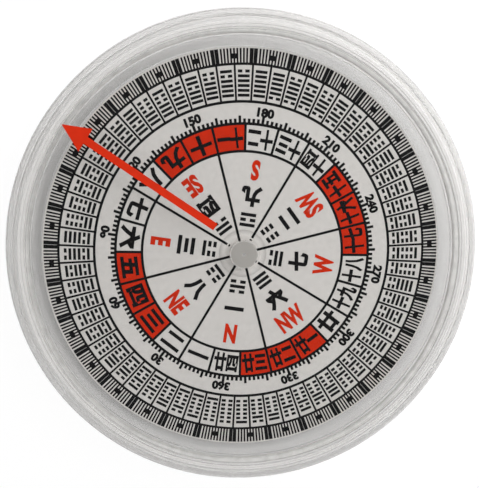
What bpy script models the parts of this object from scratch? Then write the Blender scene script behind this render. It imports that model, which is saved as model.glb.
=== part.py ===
"""Feng shui compass: a floating magnetic card on a pivot, in a round clear case.

Metres, +Z up. The origin is at the middle of the case's underside, and +Y is the case's top side as it lies on a
table. Sizes stack up from the case's floor to its cover, and out from the card's edge to the case's outer wall.
"""

from math import asin, cos, pi, radians, sin, sqrt

import bmesh
import bpy
from mathutils import Matrix

# Running and seating gap between neighbouring pieces
GAP = 0.0003
OVERRUN = 0.0010

# Card, outward from the axis
CARD_HEADING = radians(172.25)
DIAL_RADIUS = 0.0326
DIAL_THICKNESS = 0.0003
DIAL_EDGE_ROUND = 0.0001
COLLAR_INNER_RADIUS = 0.0027
COLLAR_OUTER_RADIUS = 0.0039
COLLAR_HEIGHT = 0.00006
COLLAR_SLOPE = 0.0003
DISC_EDGE_INSET = 0.0005
DISC_THICKNESS = 0.0008
DISC_RIM_WIDTH = 0.0009
DISC_RIM_DEPTH = 0.0009
DISC_BOSS_MARGIN = 0.0062
DISC_STEP = 0.0003
DISC_RIBS = 8
DISC_RIB_WIDTH = 0.0009
DISC_RIB_DEPTH = 0.0005
DISC_POCKET_INSET = 0.0009

# Hub, with its hollow spigot down through the card
HUB_RADIUS = 0.00223
HUB_HEIGHT = 0.0022
HUB_CHAMFER = 0.00012
HUB_DIMPLE_RADIUS = 0.00035
HUB_DIMPLE_DEPTH = 0.00015
HUB_GROOVE_HEIGHT = 0.0007
HUB_GROOVE_WIDTH = 0.0004
HUB_GROOVE_DEPTH = 0.00012
HUB_ROOF = 0.0005
SPIGOT_WALL = 0.00045
BORE_RADIUS = 0.00095
SPIGOT_OVERHANG = 0.0003
WASHER_WIDTH = 0.0013
WASHER_THICKNESS = 0.0004
WASHER_CONE = 0.0002

# Jewel cup and needle
JEWEL_HEIGHT = 0.0010
JEWEL_RECESS_DEPTH = 0.0006
JEWEL_MOUTH_RADIUS = 0.00045
JEWEL_APEX_RADIUS = 0.00008
JEWEL_CHAMFER = 0.00012
NEEDLE_RADIUS = 0.00035
NEEDLE_TAPER = 0.0014
NEEDLE_TIP_RADIUS = 0.00004
NEEDLE_HELD_LENGTH = 0.0020

# Magnets and their carrier
CARRIER_RADIUS = 0.0105
CARRIER_WEB = 0.0005
POCKET_DEPTH = 0.0008
POCKET_OFFSET = 0.0042
MAGNET_LENGTH = 0.0160
MAGNET_WIDTH = 0.0024
MAGNET_THICKNESS = 0.0010
MAGNET_BEVEL = 0.00015
WEIGHT_RADIUS = 0.0016
WEIGHT_THICKNESS = 0.0007
WEIGHT_CHAMFER = 0.0002

# Pedestal on the case's floor
PEDESTAL_FLANGE_RADIUS = 0.0031
PEDESTAL_FLANGE_THICKNESS = 0.0006
PEDESTAL_CONE_HEIGHT = 0.0010
PEDESTAL_TOP_RADIUS = 0.0011
PEDESTAL_STEM_RADIUS = 0.0015
PEDESTAL_STEM_LENGTH = 0.0010
SPIGOT_CLEARANCE = 0.0005

# Case, upward from the table
FOOT_HEIGHT = 0.0005
FOOT_WIDTH = 0.0040
FOOT_INSET = 0.0030
FOOT_CHAMFER = 0.0002
FLOOR_THICKNESS = 0.0017
FLOOR_FILLET = 0.0012
FLOOR_PAD_RADIUS = 0.0060
FLOOR_PAD_DROP = 0.0002
BASE_CHAMFER = 0.0008
WALL_TOP_FILLET = 0.0005
WALL_DROP = 0.0009

# Case, outward from the card
CARD_CLEARANCE = 0.0011
SEAT_MARGIN = 0.0002
GASKET_WIDTH = 0.0013
GASKET_THICKNESS = 0.0004
FLANGE_WIDTH = 0.0011
FLANGE_THICKNESS = 0.0011
LENS_RISE = 0.0004
LENS_FILLET = 0.0003
HEADROOM = 0.0005
RING_LEG_WIDTH = 0.00065
RING_LIP_THICKNESS = 0.0004
RING_BEVEL = 0.00085
BEAD_HEIGHT = 0.00025
BEAD_LENGTH = 0.0008
BEAD_RISE = 0.0007
WALL_SKIN = 0.00105

# Red film arrow on the cover, placed from the case's axis
ARROW_TAIL_X = -0.00475
ARROW_TAIL_Y = 0.00444
ARROW_DIRECTION = radians(147)
ARROW_SHAFT_WIDTH = 0.0012
ARROW_HEAD_LENGTH = 0.0042
ARROW_HEAD_WIDTH = 0.0040
ARROW_THICKNESS = 0.00015

LARGE_STEPS = 72
MEDIUM_STEPS = 36
SMALL_STEPS = 24
FILLET_STEPS = 3
POCKET_STEPS = 8
MERGE = 1e-6
SMOOTH_ANGLE = radians(30)

# Heights, stacked up from the table
FLOOR_TOP = FOOT_HEIGHT + FLOOR_THICKNESS
PEDESTAL_BOTTOM = FLOOR_TOP + GAP
PEDESTAL_TOP = PEDESTAL_BOTTOM + PEDESTAL_FLANGE_THICKNESS + PEDESTAL_CONE_HEIGHT
SPIGOT_END = PEDESTAL_TOP + SPIGOT_CLEARANCE
WASHER_BOTTOM = SPIGOT_END + SPIGOT_OVERHANG
CARRIER_BOTTOM = WASHER_BOTTOM + WASHER_THICKNESS + GAP
POCKET_TOP = CARRIER_BOTTOM + POCKET_DEPTH
CARRIER_TOP = POCKET_TOP + CARRIER_WEB
DISC_BOTTOM = CARRIER_TOP + GAP
DISC_TOP = DISC_BOTTOM + DISC_THICKNESS
DIAL_BOTTOM = DISC_TOP + GAP
DIAL_TOP = DIAL_BOTTOM + DIAL_THICKNESS
HUB_BOTTOM = DIAL_TOP + GAP
HUB_TOP = HUB_BOTTOM + HUB_HEIGHT
BORE_TOP = HUB_TOP - HUB_ROOF
JEWEL_TOP = BORE_TOP - GAP
JEWEL_BOTTOM = JEWEL_TOP - JEWEL_HEIGHT
NEEDLE_TIP = JEWEL_BOTTOM + JEWEL_RECESS_DEPTH - GAP
LENS_BOTTOM = HUB_TOP + HEADROOM
LEDGE = LENS_BOTTOM - GAP - GASKET_THICKNESS - GAP
FLANGE_TOP = LENS_BOTTOM + FLANGE_THICKNESS
RING_LIP_BOTTOM = FLANGE_TOP + GAP
RING_TOP = RING_LIP_BOTTOM + RING_LIP_THICKNESS
LENS_TOP = RING_TOP + LENS_RISE
WALL_TOP = RING_TOP - WALL_DROP
ARROW_BOTTOM = LENS_TOP + GAP

# Radii, stacked out from the card
SPIGOT_RADIUS = BORE_RADIUS + SPIGOT_WALL
CARD_HOLE_RADIUS = SPIGOT_RADIUS + GAP
DISC_BOSS_RADIUS = CARRIER_RADIUS + DISC_BOSS_MARGIN
DISC_RADIUS = DIAL_RADIUS - DISC_EDGE_INSET
DISC_RIM_INNER = DISC_RADIUS - DISC_RIM_WIDTH
WEIGHT_ARM = (DISC_BOSS_RADIUS + DISC_RIM_INNER) / 2
CAVITY_RADIUS = DIAL_RADIUS + CARD_CLEARANCE
GASKET_INNER = CAVITY_RADIUS + SEAT_MARGIN
FLANGE_RADIUS = GASKET_INNER + GASKET_WIDTH
LENS_RADIUS = FLANGE_RADIUS - FLANGE_WIDTH
RING_LIP_RADIUS = LENS_RADIUS + GAP
RING_LEG_INNER = FLANGE_RADIUS + GAP
RING_OUTER = RING_LEG_INNER + RING_LEG_WIDTH
REBATE_RADIUS = RING_OUTER + GAP
CASE_RADIUS = REBATE_RADIUS + WALL_SKIN
BEAD_MIDDLE = LEDGE + GAP + BEAD_RISE

# The arrow's tip ends at the cover's edge
ARROW_REACH = ARROW_TAIL_X * cos(ARROW_DIRECTION) + ARROW_TAIL_Y * sin(ARROW_DIRECTION)
ARROW_OFFSET = ARROW_TAIL_X * sin(ARROW_DIRECTION) - ARROW_TAIL_Y * cos(ARROW_DIRECTION)
ARROW_LENGTH = sqrt(LENS_RADIUS ** 2 - ARROW_OFFSET ** 2) - ARROW_REACH


def clear_scene():
    for obj in list(bpy.data.objects):
        bpy.data.objects.remove(obj, do_unlink=True)


def material(name, colour, roughness, metallic=0.0, transmission=0.0):
    made = bpy.data.materials.new(name)
    made.use_nodes = True
    shader = made.node_tree.nodes["Principled BSDF"]
    shader.inputs["Base Color"].default_value = (*colour, 1.0)
    shader.inputs["Roughness"].default_value = roughness
    shader.inputs["Metallic"].default_value = metallic
    shader.inputs["Transmission Weight"].default_value = transmission
    made.diffuse_color = (*colour, 1.0)
    return made


def arc(centre_r, centre_z, radius, start, end):
    """Points (r, z) on a fillet, from the start angle to the end angle, in degrees."""
    points = []
    for step in range(FILLET_STEPS + 1):
        turn = radians(start + (end - start) * step / FILLET_STEPS)
        points.append((centre_r + radius * cos(turn), centre_z + radius * sin(turn)))
    return points


def finished(name, solid, finish, parent):
    """Makes an object from a bmesh, smooth on its round faces and sharp at its corners."""
    bmesh.ops.recalc_face_normals(solid, faces=solid.faces)
    mesh = bpy.data.meshes.new(name)
    solid.to_mesh(mesh)
    solid.free()
    mesh.shade_smooth()
    mesh.set_sharp_from_angle(angle=SMOOTH_ANGLE)
    if finish:
        mesh.materials.append(finish)
    piece = bpy.data.objects.new(name, mesh)
    piece.parent = parent
    bpy.context.scene.collection.objects.link(piece)
    return piece


def turned(name, profile, steps, finish, parent=None, closed=True):
    """Spins a profile of (radius, height) points about +Z. One that is not closed starts and ends on the axis."""
    solid = bmesh.new()
    points = [solid.verts.new((r, 0.0, z)) for r, z in profile]
    edges = [solid.edges.new(pair) for pair in zip(points, points[1:])]
    if closed:
        edges.append(solid.edges.new((points[-1], points[0])))
    bmesh.ops.spin(solid, geom=points + edges, axis=(0.0, 0.0, 1.0), angle=2 * pi, steps=steps)
    bmesh.ops.remove_doubles(solid, verts=solid.verts, dist=MERGE)
    return finished(name, solid, finish, parent)


def box(name, centre, size, bevel, finish, parent=None):
    """A block with its edges bevelled."""
    solid = bmesh.new()
    bmesh.ops.create_cube(solid, size=1.0, matrix=Matrix.Diagonal((*size, 1.0)))
    if bevel:
        bmesh.ops.bevel(solid, geom=list(solid.edges), offset=bevel, segments=1, affect="EDGES")
    piece = finished(name, solid, finish, parent)
    piece.location = centre
    return piece


def cut(piece, cutter):
    cutter.hide_render = True
    cutter.display_type = "WIRE"
    boolean = piece.modifiers.new("cut " + cutter.name, "BOOLEAN")
    boolean.operation = "DIFFERENCE"
    boolean.solver = "EXACT"
    boolean.object = cutter


def base_shell(clear):
    """Cup with a foot ring, a floor with a socket for the pedestal, and a stepped rim with a snap groove."""
    socket_radius = PEDESTAL_STEM_RADIUS + GAP
    socket_floor = PEDESTAL_BOTTOM - PEDESTAL_STEM_LENGTH - GAP
    foot_outer = CASE_RADIUS - FOOT_INSET
    foot_inner = foot_outer - FOOT_WIDTH
    groove_radius = REBATE_RADIUS + BEAD_HEIGHT
    groove_half = BEAD_LENGTH / 2 + GAP
    pad_floor = FLOOR_TOP - FLOOR_PAD_DROP
    profile = [
        (0.0, socket_floor),
        (socket_radius, socket_floor),
        (socket_radius, FLOOR_TOP),
        (FLOOR_PAD_RADIUS, FLOOR_TOP),
        (FLOOR_PAD_RADIUS + FLOOR_PAD_DROP, pad_floor),
    ]
    profile += arc(CAVITY_RADIUS - FLOOR_FILLET, pad_floor + FLOOR_FILLET, FLOOR_FILLET, -90, 0)
    profile += [
        (CAVITY_RADIUS, LEDGE),
        (REBATE_RADIUS, LEDGE),
        (REBATE_RADIUS, BEAD_MIDDLE - groove_half),
        (groove_radius, BEAD_MIDDLE - groove_half + BEAD_HEIGHT),
        (groove_radius, BEAD_MIDDLE + groove_half - BEAD_HEIGHT),
        (REBATE_RADIUS, BEAD_MIDDLE + groove_half),
        (REBATE_RADIUS, WALL_TOP),
    ]
    profile += arc(CASE_RADIUS - WALL_TOP_FILLET, WALL_TOP - WALL_TOP_FILLET, WALL_TOP_FILLET, 90, 0)
    profile += [
        (CASE_RADIUS, FOOT_HEIGHT + BASE_CHAMFER),
        (CASE_RADIUS - BASE_CHAMFER, FOOT_HEIGHT),
        (foot_outer, FOOT_HEIGHT),
        (foot_outer, FOOT_CHAMFER),
        (foot_outer - FOOT_CHAMFER, 0.0),
        (foot_inner + FOOT_CHAMFER, 0.0),
        (foot_inner, FOOT_CHAMFER),
        (foot_inner, FOOT_HEIGHT),
        (0.0, FOOT_HEIGHT),
    ]
    return turned("base_shell", profile, LARGE_STEPS, clear, closed=False)


def cover_lens(clear):
    """Flat round cover, with a lower flange that the bezel ring holds down."""
    profile = [(0.0, LENS_TOP)]
    profile += arc(LENS_RADIUS - LENS_FILLET, LENS_TOP - LENS_FILLET, LENS_FILLET, 90, 0)
    profile += [
        (LENS_RADIUS, FLANGE_TOP),
        (FLANGE_RADIUS, FLANGE_TOP),
        (FLANGE_RADIUS, LENS_BOTTOM),
        (0.0, LENS_BOTTOM),
    ]
    return turned("cover_lens", profile, LARGE_STEPS, clear, closed=False)


def bezel_ring(clear):
    """Ring round the cover: lip over the flange, leg beside it, and a bead that snaps into the wall's groove."""
    bead_radius = RING_OUTER + BEAD_HEIGHT
    bead_half = BEAD_LENGTH / 2
    profile = [
        (RING_LIP_RADIUS, RING_TOP),
        (RING_OUTER - RING_BEVEL, RING_TOP),
        (RING_OUTER, RING_TOP - RING_BEVEL),
        (RING_OUTER, BEAD_MIDDLE + bead_half),
        (bead_radius, BEAD_MIDDLE + bead_half - BEAD_HEIGHT),
        (bead_radius, BEAD_MIDDLE - bead_half + BEAD_HEIGHT),
        (RING_OUTER, BEAD_MIDDLE - bead_half),
        (RING_OUTER, LEDGE + GAP),
        (RING_LEG_INNER, LEDGE + GAP),
        (RING_LEG_INNER, RING_LIP_BOTTOM),
        (RING_LIP_RADIUS, RING_LIP_BOTTOM),
    ]
    return turned("bezel_ring", profile, LARGE_STEPS, clear)


def seal_gasket(rubber):
    bottom = LEDGE + GAP
    top = bottom + GASKET_THICKNESS
    profile = [(GASKET_INNER, top), (FLANGE_RADIUS, top), (FLANGE_RADIUS, bottom), (GASKET_INNER, bottom)]
    return turned("seal_gasket", profile, LARGE_STEPS, rubber)


def direction_arrow(film):
    """Flat arrow lying on the cover, from beside the hub to the cover's edge."""
    half_shaft = ARROW_SHAFT_WIDTH / 2
    half_head = ARROW_HEAD_WIDTH / 2
    neck = ARROW_LENGTH - ARROW_HEAD_LENGTH
    outline = [
        (0.0, -half_shaft),
        (neck, -half_shaft),
        (neck, -half_head),
        (ARROW_LENGTH, 0.0),
        (neck, half_head),
        (neck, half_shaft),
        (0.0, half_shaft),
    ]
    solid = bmesh.new()
    face = solid.faces.new([solid.verts.new((x, y, 0.0)) for x, y in outline])
    raised = bmesh.ops.extrude_face_region(solid, geom=[face])["geom"]
    tops = [item for item in raised if isinstance(item, bmesh.types.BMVert)]
    bmesh.ops.translate(solid, verts=tops, vec=(0.0, 0.0, ARROW_THICKNESS))
    piece = finished("direction_arrow", solid, film, None)
    piece.location = (ARROW_TAIL_X, ARROW_TAIL_Y, ARROW_BOTTOM)
    piece.rotation_euler = (0.0, 0.0, ARROW_DIRECTION)
    return piece


def pivot_pedestal(brass):
    """Turned pedestal: stem in the floor's socket, flange on the floor, and a cone that grips the needle."""
    hole_radius = NEEDLE_RADIUS + GAP
    hole_floor = PEDESTAL_TOP - NEEDLE_HELD_LENGTH - GAP
    flange_top = PEDESTAL_BOTTOM + PEDESTAL_FLANGE_THICKNESS
    stem_end = PEDESTAL_BOTTOM - PEDESTAL_STEM_LENGTH
    profile = [
        (0.0, hole_floor),
        (hole_radius, hole_floor),
        (hole_radius, PEDESTAL_TOP),
        (PEDESTAL_TOP_RADIUS, PEDESTAL_TOP),
        (PEDESTAL_STEM_RADIUS, flange_top),
        (PEDESTAL_FLANGE_RADIUS, flange_top),
        (PEDESTAL_FLANGE_RADIUS, PEDESTAL_BOTTOM),
        (PEDESTAL_STEM_RADIUS, PEDESTAL_BOTTOM),
        (PEDESTAL_STEM_RADIUS, stem_end),
        (0.0, stem_end),
    ]
    return turned("pivot_pedestal", profile, SMALL_STEPS, brass, closed=False)


def pivot_needle(steel):
    foot = PEDESTAL_TOP - NEEDLE_HELD_LENGTH
    profile = [
        (0.0, NEEDLE_TIP),
        (NEEDLE_TIP_RADIUS, NEEDLE_TIP - NEEDLE_TIP_RADIUS),
        (NEEDLE_RADIUS, NEEDLE_TIP - NEEDLE_TAPER),
        (NEEDLE_RADIUS, foot),
        (0.0, foot),
    ]
    return turned("pivot_needle", profile, SMALL_STEPS, steel, closed=False)


def hub_cap(metal, card):
    """Turned cap: blind bore for the jewel and the needle, grip groove, and a spigot down through the card."""
    groove_bottom = HUB_BOTTOM + HUB_GROOVE_HEIGHT
    profile = [
        (0.0, HUB_TOP - HUB_DIMPLE_DEPTH),
        (HUB_DIMPLE_RADIUS, HUB_TOP),
        (HUB_RADIUS - HUB_CHAMFER, HUB_TOP),
        (HUB_RADIUS, HUB_TOP - HUB_CHAMFER),
        (HUB_RADIUS, groove_bottom + HUB_GROOVE_WIDTH),
        (HUB_RADIUS - HUB_GROOVE_DEPTH, groove_bottom + HUB_GROOVE_WIDTH - HUB_GROOVE_DEPTH),
        (HUB_RADIUS - HUB_GROOVE_DEPTH, groove_bottom + HUB_GROOVE_DEPTH),
        (HUB_RADIUS, groove_bottom),
        (HUB_RADIUS, HUB_BOTTOM),
        (SPIGOT_RADIUS, HUB_BOTTOM),
        (SPIGOT_RADIUS, SPIGOT_END),
        (BORE_RADIUS, SPIGOT_END),
        (BORE_RADIUS, BORE_TOP),
        (0.0, BORE_TOP),
    ]
    return turned("hub_cap", profile, MEDIUM_STEPS, metal, card, closed=False)


def jewel_cup(ruby, card):
    """Hard cup bearing in the hub's bore, with the conical recess that rides on the needle's point."""
    outer = BORE_RADIUS - GAP
    profile = [
        (0.0, JEWEL_TOP),
        (outer - JEWEL_CHAMFER, JEWEL_TOP),
        (outer, JEWEL_TOP - JEWEL_CHAMFER),
        (outer, JEWEL_BOTTOM),
        (JEWEL_MOUTH_RADIUS, JEWEL_BOTTOM),
        (JEWEL_APEX_RADIUS, JEWEL_BOTTOM + JEWEL_RECESS_DEPTH),
        (0.0, JEWEL_BOTTOM + JEWEL_RECESS_DEPTH),
    ]
    return turned("jewel_cup", profile, SMALL_STEPS, ruby, card, closed=False)


def dial_face(foil, card):
    """Printed sheet with a rolled edge and an embossed collar round the hub."""
    profile = [
        (CARD_HOLE_RADIUS, DIAL_TOP),
        (COLLAR_INNER_RADIUS, DIAL_TOP),
        (COLLAR_INNER_RADIUS + COLLAR_SLOPE, DIAL_TOP + COLLAR_HEIGHT),
        (COLLAR_OUTER_RADIUS - COLLAR_SLOPE, DIAL_TOP + COLLAR_HEIGHT),
        (COLLAR_OUTER_RADIUS, DIAL_TOP),
        (DIAL_RADIUS - DIAL_EDGE_ROUND, DIAL_TOP),
        (DIAL_RADIUS, DIAL_TOP - DIAL_EDGE_ROUND),
        (DIAL_RADIUS, DIAL_BOTTOM),
        (CARD_HOLE_RADIUS, DIAL_BOTTOM),
    ]
    return turned("dial_face", profile, LARGE_STEPS, foil, card)


def pocket_block(name, inner, outer, bottom, top, middle, card):
    """Cutter for one pocket of the card's disc, with its sides along the ribs beside it."""
    solid = bmesh.new()
    share = pi / DISC_RIBS
    rings = []
    for step in range(POCKET_STEPS + 1):
        place = 2 * step / POCKET_STEPS - 1
        ring = []
        for radius, height in ((inner, bottom), (outer, bottom), (outer, top), (inner, top)):
            turn = middle + place * (share - asin(DISC_RIB_WIDTH / 2 / radius))
            ring.append(solid.verts.new((radius * cos(turn), radius * sin(turn), height)))
        rings.append(ring)
    for here, there in zip(rings, rings[1:]):
        for side in range(4):
            after = (side + 1) % 4
            solid.faces.new((here[side], here[after], there[after], there[side]))
    solid.faces.new(rings[0])
    solid.faces.new(rings[-1])
    return finished(name, solid, None, card)


def card_disc(plastic, card):
    """Moulded plate under the printed sheet: a down-turned rim, and pockets between radial ribs."""
    web_bottom = DISC_BOTTOM + DISC_STEP
    rib_bottom = web_bottom - DISC_RIB_DEPTH
    profile = [
        (CARD_HOLE_RADIUS, DISC_TOP),
        (DISC_RADIUS, DISC_TOP),
        (DISC_RADIUS, web_bottom - DISC_RIM_DEPTH),
        (DISC_RIM_INNER, web_bottom - DISC_RIM_DEPTH),
        (DISC_RIM_INNER, rib_bottom),
        (DISC_BOSS_RADIUS, rib_bottom),
        (DISC_BOSS_RADIUS - DISC_STEP, DISC_BOTTOM),
        (CARD_HOLE_RADIUS, DISC_BOTTOM),
    ]
    disc = turned("card_disc", profile, LARGE_STEPS, plastic, card)
    inner = DISC_BOSS_RADIUS + DISC_POCKET_INSET
    outer = DISC_RIM_INNER - DISC_POCKET_INSET
    for index in range(DISC_RIBS):
        middle = 2 * pi * index / DISC_RIBS
        block = pocket_block(f"disc_pocket_{index}", inner, outer, rib_bottom - OVERRUN, web_bottom, middle, card)
        cut(disc, block)
    return disc


def magnet_carrier(plastic, card):
    """Round cradle with two pockets, open below, for the bar magnets."""
    profile = [
        (CARD_HOLE_RADIUS, CARRIER_TOP),
        (CARRIER_RADIUS, CARRIER_TOP),
        (CARRIER_RADIUS, CARRIER_BOTTOM),
        (CARD_HOLE_RADIUS, CARRIER_BOTTOM),
    ]
    carrier = turned("magnet_carrier", profile, MEDIUM_STEPS, plastic, card)
    size = (MAGNET_WIDTH + 2 * GAP, MAGNET_LENGTH + 2 * GAP, POCKET_DEPTH + OVERRUN)
    height = POCKET_TOP - size[2] / 2
    for side, name in ((-1, "left"), (1, "right")):
        pocket = box("pocket_" + name, (side * POCKET_OFFSET, 0.0, height), size, 0.0, None, card)
        cut(carrier, pocket)
    return carrier


def magnet(name, side, steel, card):
    """Bar magnet lying along the card's north to south line, proud of its pocket."""
    height = POCKET_TOP - GAP - MAGNET_THICKNESS / 2
    size = (MAGNET_WIDTH, MAGNET_LENGTH, MAGNET_THICKNESS)
    return box(name, (side * POCKET_OFFSET, 0.0, height), size, MAGNET_BEVEL, steel, card)


def clamp_washer(steel, card):
    """Coned push-on washer that holds the card's stack up against the hub."""
    outer = CARD_HOLE_RADIUS + WASHER_WIDTH
    top = WASHER_BOTTOM + WASHER_THICKNESS
    profile = [
        (CARD_HOLE_RADIUS, top - WASHER_CONE),
        (outer, top),
        (outer, WASHER_BOTTOM + WASHER_CONE),
        (CARD_HOLE_RADIUS, WASHER_BOTTOM),
    ]
    return turned("clamp_washer", profile, SMALL_STEPS, steel, card)


def balance_weight(brass, card):
    """Small weight in the middle of the card's south pocket."""
    top = DISC_BOTTOM + DISC_STEP - GAP
    bottom = top - WEIGHT_THICKNESS
    profile = [
        (0.0, top),
        (WEIGHT_RADIUS, top),
        (WEIGHT_RADIUS, bottom + WEIGHT_CHAMFER),
        (WEIGHT_RADIUS - WEIGHT_CHAMFER, bottom),
        (0.0, bottom),
    ]
    weight = turned("balance_weight", profile, SMALL_STEPS, brass, card, closed=False)
    weight.location = (0.0, -WEIGHT_ARM, 0.0)
    return weight


def main():
    clear_scene()
    clear = material("clear acrylic", (0.86, 0.87, 0.88), 0.05, transmission=1.0)
    rubber = material("translucent silicone", (0.70, 0.70, 0.68), 0.45)
    film = material("red film", (0.65, 0.03, 0.01), 0.45)
    foil = material("printed aluminium", (0.60, 0.59, 0.57), 0.38, metallic=0.6)
    white = material("white moulding", (0.78, 0.78, 0.76), 0.5)
    metal = material("turned aluminium", (0.35, 0.34, 0.33), 0.35, metallic=1.0)
    ruby = material("ruby jewel", (0.45, 0.02, 0.06), 0.08)
    steel = material("hardened steel", (0.55, 0.56, 0.58), 0.2, metallic=1.0)
    magnet_steel = material("magnet steel", (0.16, 0.16, 0.17), 0.4, metallic=1.0)
    brass = material("turned brass", (0.72, 0.53, 0.24), 0.28, metallic=1.0)

    card = bpy.data.objects.new("card_axis", None)
    card.rotation_euler = (0.0, 0.0, CARD_HEADING)
    bpy.context.scene.collection.objects.link(card)

    base_shell(clear)
    cover_lens(clear)
    bezel_ring(clear)
    seal_gasket(rubber)
    direction_arrow(film)
    pivot_pedestal(brass)
    pivot_needle(steel)

    hub_cap(metal, card)
    jewel_cup(ruby, card)
    dial_face(foil, card)
    card_disc(white, card)
    magnet_carrier(white, card)
    magnet("magnet_left", -1, magnet_steel, card)
    magnet("magnet_right", 1, magnet_steel, card)
    clamp_washer(steel, card)
    balance_weight(brass, card)


main()
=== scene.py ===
"""Looks of the feng shui compass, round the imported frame: clear case, printed card, studio and camera."""

from math import acos, cos, pi, radians, sin, tan

import bmesh
import bpy
from mathutils import Matrix, Vector


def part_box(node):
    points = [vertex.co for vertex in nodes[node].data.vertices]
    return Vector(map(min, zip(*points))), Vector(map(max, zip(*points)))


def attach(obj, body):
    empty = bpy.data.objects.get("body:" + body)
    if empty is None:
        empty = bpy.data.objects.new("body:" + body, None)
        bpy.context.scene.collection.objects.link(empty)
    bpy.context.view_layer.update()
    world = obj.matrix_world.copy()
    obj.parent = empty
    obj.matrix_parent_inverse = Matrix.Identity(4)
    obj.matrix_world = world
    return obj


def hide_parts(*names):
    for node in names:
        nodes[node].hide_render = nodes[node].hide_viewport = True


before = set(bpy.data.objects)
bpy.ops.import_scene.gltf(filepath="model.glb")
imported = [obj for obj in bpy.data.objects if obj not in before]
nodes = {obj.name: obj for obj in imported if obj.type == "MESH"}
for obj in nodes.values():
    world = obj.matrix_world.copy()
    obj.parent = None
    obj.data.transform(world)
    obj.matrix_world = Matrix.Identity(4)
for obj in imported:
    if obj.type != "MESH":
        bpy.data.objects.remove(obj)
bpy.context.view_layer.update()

# Sizes that the source gives too, in metres
GAP = 0.0003
CARD_HEADING = radians(172.25)
CARD_HOLE_RADIUS = 0.0017
DIAL_THICKNESS = 0.0003
DIAL_EDGE_ROUND = 0.0001
COLLAR_INNER_RADIUS = 0.0027
COLLAR_OUTER_RADIUS = 0.0039
COLLAR_HEIGHT = 0.00006

HUB_CHAMFER = 0.00012
HUB_DIMPLE_RADIUS = 0.00035
HUB_DIMPLE_DEPTH = 0.00015
HUB_GROOVE_HEIGHT = 0.0007
HUB_GROOVE_WIDTH = 0.0004
HUB_GROOVE_DEPTH = 0.00012
HUB_ROOF = 0.0005
SPIGOT_RADIUS = 0.0014
BORE_RADIUS = 0.00095

FOOT_HEIGHT = 0.0005
FOOT_WIDTH = 0.0040
FOOT_INSET = 0.0030
FLOOR_TOP = 0.0022
FLOOR_FILLET = 0.0012
FLOOR_PAD_RADIUS = 0.0060
FLOOR_PAD_DROP = 0.0002
SOCKET_RADIUS = 0.0018
SOCKET_DEPTH = 0.0010
BASE_CHAMFER = 0.0008
WALL_TOP_FILLET = 0.0005
WALL_SKIN = 0.00105

SEAT_MARGIN = 0.0002
GASKET_WIDTH = 0.0013
FLANGE_WIDTH = 0.0011
FLANGE_THICKNESS = 0.0011
LENS_FILLET = 0.0003
RING_LIP_THICKNESS = 0.0004
RING_BEVEL = 0.00085
BEAD_HEIGHT = 0.00025
BEAD_LENGTH = 0.0008
BEAD_RISE = 0.0007

# Sizes for the looks alone, in metres: the collar's slope, steeper than the source's, and rounding of edges
COLLAR_SLOPE = 0.00015
GROOVE_EDGE = 0.00003
COLLAR_EDGE = 0.00005
FINE_EDGE = 0.0001
SOFT_EDGE = 0.00015
MOULDED_EDGE = 0.0002
BEVEL_EDGE = 0.0003
BASE_EDGE = 0.0004

# Fineness of the meshes
TURN_STEPS = 256
HUB_STEPS = 128
CIRCLE_STEPS = 240
FILLET_TURN = radians(15)
SMOOTH_ANGLE = radians(30)
MERGE = 1e-7

# Ink on the sheet, in metres: how far it sinks in, and how far fills, lines and glyphs stand up
INK_DEPTH = 0.00001
FILL_INK = 0.000012
LINE_INK = 0.000020
GLYPH_INK = 0.000028

# Layout of the print, in units, of which the dial's radius has this many
UNITS_PER_RADIUS = 198.5
CELL_RING = (147.31, 182.3)
RIM_TICKS = (182.3, 196.8)
DEGREE_RING = 126.45
NUMERAL_RING = (100.18, 126.45)


def sizes(node):
    """Outer radius, lowest and highest point of a round node on the axis."""
    low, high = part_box(node)
    return high.x, low.z, high.z


dial_radius, dial_bottom, _ = sizes("dial_face")
dial_top = dial_bottom + DIAL_THICKNESS
unit = dial_radius / UNITS_PER_RADIUS


# Meshes

def finished(name, solid, finish, smooth=True):
    """Piece with one material from a solid in the making. Unless told not to, its curves are smooth."""
    bmesh.ops.recalc_face_normals(solid, faces=solid.faces)
    mesh = bpy.data.meshes.new(name)
    solid.to_mesh(mesh)
    solid.free()
    if smooth:
        mesh.shade_smooth()
        mesh.set_sharp_from_angle(angle=SMOOTH_ANGLE)
    mesh.materials.append(finish)
    piece = bpy.data.objects.new(name, mesh)
    bpy.context.scene.collection.objects.link(piece)
    if smooth:
        flats = piece.modifiers.new("flats stay flat", "WEIGHTED_NORMAL")
        flats.weight = 100
        flats.keep_sharp = True
    return piece


def rounded(corners):
    """Profile from (radius, height, fillet) corners, with an arc at each corner that has a fillet."""
    points = []
    count = len(corners)
    for index, (r, z, fillet) in enumerate(corners):
        here = Vector((r, z))
        if not fillet:
            points.append(here)
            continue
        back = (Vector(corners[index - 1][:2]) - here).normalized()
        ahead = (Vector(corners[(index + 1) % count][:2]) - here).normalized()
        half = acos(max(-1.0, min(1.0, back.dot(ahead)))) / 2
        reach = fillet / tan(half)
        centre = here + (back + ahead).normalized() * (fillet / sin(half))
        first = here + back * reach - centre
        last = here + ahead * reach - centre
        steps = max(2, round((pi - 2 * half) / FILLET_TURN))
        whole = first.angle_signed(last)
        for step in range(steps + 1):
            turn = -whole * step / steps
            points.append(centre + Matrix.Rotation(turn, 2) @ first)
    return [(max(0.0, p.x), p.y) for p in points]


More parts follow.
